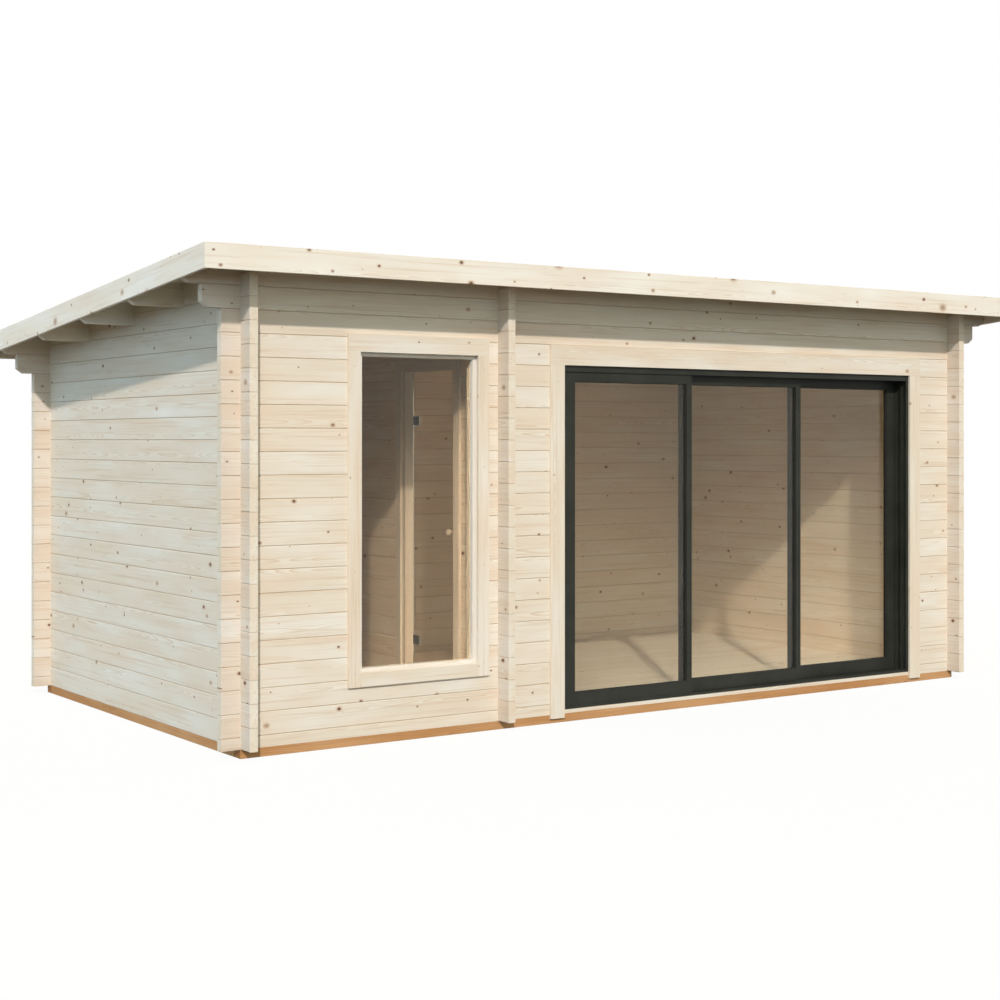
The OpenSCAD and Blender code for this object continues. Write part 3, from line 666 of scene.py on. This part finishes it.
# %% Join the sauna door frame
REBATE = 18 * MM
RIM = 27 * MM
JAMB = 42 * MM
STRIP = 50 * MM
STRIP_THICK = 16 * MM
STRIP_LAP = 13 * MM
low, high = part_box("sauna_door_frame")
DOOR_WOOD = dict(JOINERY, pale="#EFEDE6", warm="#E8E2D8")
door_wood = wood("planed spruce of the sauna door", in_own_board, DOOR_WOOD, ring_mm=3.2, knot_share=0.25,
                 knot_mm=6, rough=0.55, seed=42, relief_mm=0.12)
shop = Workshop()
for edge, into in ((low.y, 1), (high.y, -1)):
    rim, inner = edge + into * RIM, edge + into * JAMB
    shop.push([(low.x, edge), (high.x, edge), (high.x, rim), (high.x - REBATE, rim),
               (high.x - REBATE, inner), (low.x, inner)], low.z, high.z, "z")
for edge, into in ((low.z, 1), (high.z, -1)):
    inner, rim = sorted((edge, edge + into * JAMB)), sorted((edge, edge + into * RIM))
    shop.board((low.x, low.y + JAMB, inner[0]), (high.x - REBATE, high.y - JAMB, inner[1]), "y")
    shop.board((high.x - REBATE, low.y + RIM, rim[0]), (high.x, high.y - RIM, rim[1]), "y", same_board=True)
shop.make("sauna_door_joinery", door_wood, "cabin", ["sauna_door_frame"], eased_mm=1.2)

strip_low, strip_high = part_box("sauna_door_casings")
shop = Workshop()
for x0, lap in ((strip_low.x, STRIP_LAP), (strip_high.x - STRIP_THICK, 0)):
    x1 = x0 + STRIP_THICK
    front, back, top = low.y + lap, high.y - lap, high.z - lap
    shop.board((x0, front - STRIP, strip_low.z), (x1, front, top), "z")
    shop.board((x0, back, strip_low.z), (x1, back + STRIP, top), "z")
    shop.board((x0, front - STRIP, top), (x1, back + STRIP, strip_high.z), "y")
shop.make("sauna_door_cover_strips", door_wood, "cabin", ["sauna_door_casings"],
          eased_mm=1.5)

# %% Turn the knobs
low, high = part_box("sauna_door_knobs")
leaf_low, leaf_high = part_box("sauna_door_glass")
knob_middle = ((low.y + high.y) / 2, (low.z + high.z) / 2)
knob_radius = (high.z - low.z) / 2
# In shares of the knob's length and radius
KNOB = [(0.02, 0.50), (0.06, 0.50), (0.10, 0.42), (0.42, 0.40), (0.50, 0.55), (0.56, 0.85), (0.62, 0.97),
        (0.70, 1.0), (0.80, 0.98), (0.90, 0.88), (0.96, 0.68), (0.99, 0.40), (1.0, 0.12)]
shop = Workshop()
for glass_face, tip in ((leaf_low.x, low.x), (leaf_high.x, high.x)):
    profile = [(share * (tip - glass_face), r * knob_radius) for share, r in KNOB]
    shop.turn(profile, (glass_face, *knob_middle), "x", 40)
knob_wood = wood("turned spruce", in_own_board, PLANED, ring_mm=3, knot_share=0.0, rough=0.45, seed=43,
                 relief_mm=0.08)
shop.make("turned_knobs", knob_wood, "sauna_door", ["sauna_door_knobs"], smooth=True)

# %% [markdown]
# ## Aluminium, rubber and steel
#
# The sliding door is extruded aluminium with a powder coat. The powder melts and flows out in the oven, which
# leaves a faint orange peel with bumps about 1.5 mm apart, and a soft sheen. It isn't a metal to the eye any
# more, so the shader treats it as a coating, with a low specular level, because the peel breaks up the mirror
# image of the bright floor. Rubber is nearly black and quite rough. The clamps and hinges are bare stainless
# steel, brushed upright: the scratches spread the reflections sideways.

# %% Materials of the door hardware
coated, t = new_material("anthracite powder coated aluminium")
place = add(t, "TexCoord").outputs["Object"]
peel = add(t, "TexNoise", {"Vector": place, "Scale": 1 / (1.5 * MM), "Detail": 1.0})
dust = add(t, "TexNoise", {"Vector": place, "Scale": 5.0, "Detail": 5.0, "Roughness": 0.6})
dusty = add(t, "MapRange", [dust, 0.35, 0.75, 0.0, 1.0])
colour = add(t, "MixRGB", [dusty, linear("#2D2E28"), linear("#393A33")])
bump = add(t, "Bump", {"Strength": 0.25, "Distance": 0.1 * MM, "Height": peel})
roughness = add(t, "MapRange", [dust, 0.3, 0.7, 0.38, 0.5])
surface = add(t, "BsdfPrincipled", {"Base Color": colour, "Roughness": roughness, "Normal": bump,
                                    "Specular IOR Level": 0.15})
add(t, "OutputMaterial", [surface])
finish_nodes(["slider_head", "slider_head_fins", "slider_track", "slider_track_rails", "slider_jambs",
              "slider_jamb_fins", "left_panel", "middle_panel", "right_panel"], coated)

rubber, t = new_material("black EPDM rubber")
place = add(t, "TexCoord").outputs["Object"]
bloom = add(t, "TexNoise", {"Vector": place, "Scale": 40.0, "Detail": 3.0})
colour = add(t, "MixRGB", [bloom, linear("#181816"), linear("#262523")])
bump = add(t, "Bump", {"Strength": 0.4, "Distance": 0.1 * MM, "Height": bloom})
surface = add(t, "BsdfPrincipled", {"Base Color": colour, "Roughness": 0.7, "Normal": bump})
add(t, "OutputMaterial", [surface])

steel, t = new_material("brushed stainless steel")
place = add(t, "TexCoord").outputs["Object"]
brushed = add(t, "VectorMath", [place, (1 / (0.8 * MM), 1 / (0.8 * MM), 1 / (40 * MM))], operation="MULTIPLY")
brushed = add(t, "TexNoise", {"Vector": brushed, "Scale": 1.0, "Detail": 2.0})
colour = add(t, "MixRGB", [brushed, linear("#B9B8B4"), linear("#D2D1CD")])
bump = add(t, "Bump", {"Strength": 0.3, "Distance": 0.05 * MM, "Height": brushed})
roughness = add(t, "MapRange", [brushed, 0.3, 0.7, 0.26, 0.4])
surface = add(t, "BsdfPrincipled", {"Base Color": colour, "Metallic": 1.0, "Roughness": roughness,
                                    "Normal": bump})
add(t, "OutputMaterial", [surface])
finish_nodes(["sauna_door_clamps", "sauna_door_hinges"], steel)

# %% [markdown]
# ## Glass
#
# Float glass is nearly colourless and perfectly smooth, and what one sees in it is mostly the room behind and
# the sky in front. A path tracer finds little light through clear glass, so shadow rays see a plain
# transparent surface instead: sunlight then falls through the panes onto the floor. The sauna door's glass
# has a light bronze tint. A thin film of dust, in soft patches, is all that makes a clean pane visible. Real
# glass has an index of 1.52. Ours is a little lower, so that the mirror image of the white studio doesn't
# veil the rooms.

# %% Glass materials
def glass(name, tint, shade, names):
    """tint colours what one sees through the pane, shade what sunlight comes through it."""
    material, t = new_material(name)
    place = add(t, "TexCoord").outputs["Object"]
    film = add(t, "TexNoise", {"Vector": place, "Scale": 3.0, "Detail": 4.0})
    roughness = add(t, "MapRange", [film, 0.4, 0.8, 0.0, 0.03])
    surface = add(t, "BsdfPrincipled", {"Base Color": linear(tint), "Roughness": roughness, "IOR": 1.36,
                                        "Transmission Weight": 1.0})
    clear = add(t, "BsdfTransparent", {"Color": linear(shade)})
    shadow_ray = add(t, "LightPath").outputs["Is Shadow Ray"]
    add(t, "OutputMaterial", [add(t, "MixShader", [shadow_ray, surface, clear])])
    finish_nodes(names, material)


glass("clear float glass", "#E3E1D7", "#E4E1DA", ["left_glass", "middle_glass", "right_glass"])
glass("warm tinted float glass", "#F5ECDC", "#D6D3CC", ["window_glass"])
glass("bronze safety glass", "#FAF7F2", "#E8E2D6", ["sauna_door_glass"])

# %% [markdown]
# ## Seals and screws
#
# A pane never touches its frame. Rubber gaskets run round it on both faces, and one sees them as a thin black
# line. They ride on the panel that they belong to. Then come the heads of what holds the cabin together:
# clout nails along each lap of the felt, and screws in the hinges and casings. Each is one profile turned on
# the lathe.

# %% Gaskets round the panes
GASKET = 4 * MM
GASKET_DEEP = 5 * MM


def gaskets(node, pane, side_left, side_right, rail, title, body):
    """Four rubber strips on each face of a pane, inside the opening of its frame."""
    low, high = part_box(node)
    pane_low, pane_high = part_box(pane)
    x0, x1, z0, z1 = low.x + side_left, high.x - side_right, low.z + rail, high.z - rail
    shop = Workshop()
    for y0, y1 in ((pane_low.y - GASKET_DEEP, pane_low.y), (pane_high.y, pane_high.y + GASKET_DEEP)):
        for x in (x0, x1 - GASKET):
            shop.board((x, y0, z0), (x + GASKET, y1, z1), "z")
        for z in (z0, z1 - GASKET):
            shop.board((x0 + GASKET, y0, z), (x1 - GASKET, y1, z + GASKET), "x")
    return shop.make(title, rubber, body)


STILE, LOCK, RAIL = 74 * MM, 38 * MM, 72 * MM
gaskets("left_panel", "left_glass", STILE, LOCK, RAIL, "left_gaskets", "left_panel")
gaskets("middle_panel", "middle_glass", LOCK, LOCK, RAIL, "middle_gaskets", "middle_panel")
gaskets("right_panel", "right_glass", LOCK, STILE, RAIL, "right_gaskets", "right_panel")

# %% Nails of the felt
NAIL_PITCH = 150 * MM
NAIL = [(-FELT, 1.5 * MM), (-0.2 * MM, 5 * MM), (0.6 * MM, 5 * MM), (0.9 * MM, 3 * MM)]
shop = Workshop()
for y, top in nail_rows:
    x = felt_left + NAIL_PITCH / 2
    while x < felt_right:
        shop.turn(NAIL, (x, y, top), "z", 10)
        x += NAIL_PITCH
shop.make("felt_nails", steel, "cabin", tilt=slope, smooth=True)

# %% Screws of hinges and casings
HINGE_SCREW = [(-1 * MM, 3.5 * MM), (0.3 * MM, 3.5 * MM), (1.2 * MM, 2.4 * MM), (1.4 * MM, 1.2 * MM)]
CASING_SCREW = [(0.6 * MM, 3.4 * MM), (-0.25 * MM, 3.4 * MM), (-0.35 * MM, 3.0 * MM), (-0.2 * MM, 1.6 * MM),
                (0.3 * MM, 1.2 * MM)]
PLATE = 4 * MM
PLATE_HALF = 34 * MM
SCREW_APART = 28 * MM
SCREW_IN = 6 * MM


def evenly(low, high, inset, count):
    """Places from inset past low to inset short of high."""
    return [low + inset + k * (high - low - 2 * inset) / (count - 1) for k in range(count)]


shop = Workshop()
low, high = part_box("sauna_door_hinges")
for middle in (low.z + PLATE_HALF, high.z - PLATE_HALF):
    for z in (middle - SCREW_APART / 2, middle + SCREW_APART / 2):
        shop.turn(HINGE_SCREW, (low.x + PLATE, high.y - SCREW_IN, z), "x", 16)
shop.make("hinge_screws", steel, "cabin", smooth=True)

shop = Workshop()
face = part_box("door_casing_sides")[0].y


def screw_sides(name, edge, inset, count):
    """A row of screws up each of the two boards of a node."""
    low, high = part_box(name)
    for x in (low.x + edge, high.x - edge):
        for z in evenly(low.z, high.z, inset, count):
            shop.turn(CASING_SCREW, (x, face, z), "y", 14)


screw_sides("door_casing_sides", 48 * MM, 90 * MM, 5)
low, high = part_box("door_casing_top_board")
for x in evenly(low.x, high.x, 90 * MM, 6):
    shop.turn(CASING_SCREW, (x, face, (low.z + high.z) / 2), "y", 14)
screw_sides("window_casing_sides", 34 * MM, 70 * MM, 4)
shop.make("casing_screws", steel, "cabin", smooth=True)

# %% [markdown]
# ## Floor, light and camera
#
# The studio is a plain pale floor under an open white sky, with one soft sun. The sun stands at the left
# front, 32 degrees high, so that the eaves throw their shadow on the walls and the light falls through the
# glass into the rooms. The sky is white where the camera, a reflection or a pane looks at it, but lights the
# cabin with softer colours, most of it from low down, so that it gets in under the eaves. Far from the cabin
# the floor fades to the same white, so no horizon shows.

# %% The floor
def looked_at(tree):
    """1 where the camera, a reflection or a pane looks at the studio, 0 where the studio lights the cabin."""
    path = add(tree, "LightPath").outputs
    seen = add(tree, "Math", [path["Is Camera Ray"], path["Is Glossy Ray"]], operation="MAXIMUM")
    seen = add(tree, "Math", [seen, path["Is Transmission Ray"]], operation="MAXIMUM")
    first_look = add(tree, "Math", [path["Diffuse Depth"], 0.5], operation="LESS_THAN")
    return add(tree, "Math", [seen, first_look], operation="MULTIPLY")


FLOOR_RADIUS = 60
bpy.ops.mesh.primitive_circle_add(vertices=96, radius=FLOOR_RADIUS, fill_type="NGON")
floor = bpy.context.active_object
floor.name = "studio_floor"
floor_paint, t = new_material("matt studio floor")
place = add(t, "TexCoord").outputs["Object"]
distance = add(t, "VectorMath", [place], operation="LENGTH").outputs["Value"]
fade = add(t, "MapRange", [distance, 4.0, 9.0, 0.0, 1.0], interpolation_type="SMOOTHSTEP")
seen = looked_at(t)
paint = add(t, "BsdfDiffuse", {"Color": linear("#4A4941")})
near_white = add(t, "Math", [seen, 0.93], operation="MULTIPLY")
lift = add(t, "Emission", {"Color": (1, 1, 1, 1), "Strength": near_white})
near = add(t, "AddShader", [paint, lift])
glow = add(t, "Emission", {"Color": (1, 1, 1, 1), "Strength": 1.0})
fade = add(t, "Math", [fade, seen], operation="MULTIPLY")
add(t, "OutputMaterial", [add(t, "MixShader", [fade, near, glow])])
floor.data.materials.append(floor_paint)
print("floor radius:", FLOOR_RADIUS, "m")

# %% The sun and the sky
sun = bpy.data.lights.new("sun", "SUN")
sun.energy = 2.4
sun.angle = math.radians(1.6)
sun.color = linear("#FFF8F2")[:3]
sun_lamp = bpy.data.objects.new("sun", sun)
bpy.context.scene.collection.objects.link(sun_lamp)
SUN_HEIGHT = math.radians(32.4)
SUN_TURN = math.radians(31.4)  # left of straight in front
sun_way = Vector((math.sin(SUN_TURN) * math.cos(SUN_HEIGHT), math.cos(SUN_TURN) * math.cos(SUN_HEIGHT),
                  -math.sin(SUN_HEIGHT)))
sun_lamp.rotation_euler = sun_way.to_track_quat("-Z", "Y").to_euler()

world = bpy.data.worlds.new("white sky")
bpy.context.scene.world = world
world.use_nodes = True
t = world.node_tree
t.nodes.clear()
seen = looked_at(t)
# Neutral in front, cool from the left, and a warm fill from behind for the sides that the sun doesn't reach
way = add(t, "TexCoord").outputs["Generated"]
from_left = add(t, "VectorMath", [way, (-0.97, 0.24, 0)], operation="DOT_PRODUCT").outputs["Value"]
from_behind = add(t, "VectorMath", [way, (0.6, 0.8, 0)], operation="DOT_PRODUCT").outputs["Value"]
from_left = add(t, "MapRange", [from_left, -0.3, 0.9, 0.0, 1.0])
from_behind = add(t, "MapRange", [from_behind, 0.1, 0.8, 0.0, 1.0])
tint = add(t, "MixRGB", [from_left, linear("#C9CCC3"), linear("#C1DFF1")])
tint = add(t, "MixRGB", [from_behind, tint, linear("#FFF4E4")])
rise = add(t, "SeparateXYZ", [way]).outputs[2]
level = add(t, "MapRange", [rise, 0.0, 0.5, 2.2, 0.84])
dim = add(t, "Background", {"Color": tint, "Strength": level})
white = add(t, "Background", {"Color": (1, 1, 1, 1), "Strength": 1.0})
add(t, "OutputWorld", [add(t, "MixShader", [seen, dim, white])])
print("sun strength", sun.energy)

# %% [markdown]
# ## Camera
#
# The camera stands at eye height in front of the left corner, level, so that upright edges stay parallel. A
# level camera looks too high for a low building, and a small lens shift lowers the view without tilting it.

# %% The camera
camera = bpy.data.objects.new("camera", bpy.data.cameras.new("camera"))
bpy.context.scene.collection.objects.link(camera)
camera.location = (-6.125, -8.7965, 1.527)
camera.rotation_euler = (math.pi / 2, 0, -math.atan2(0.565, 0.8251))
camera.data.sensor_width = 36
camera.data.lens = 61.74
camera.data.shift_y = -0.06
camera.data.clip_end = 200
bpy.context.scene.camera = camera
bpy.context.scene.view_settings.view_transform = "Standard"
print("lens", camera.data.lens, "mm")
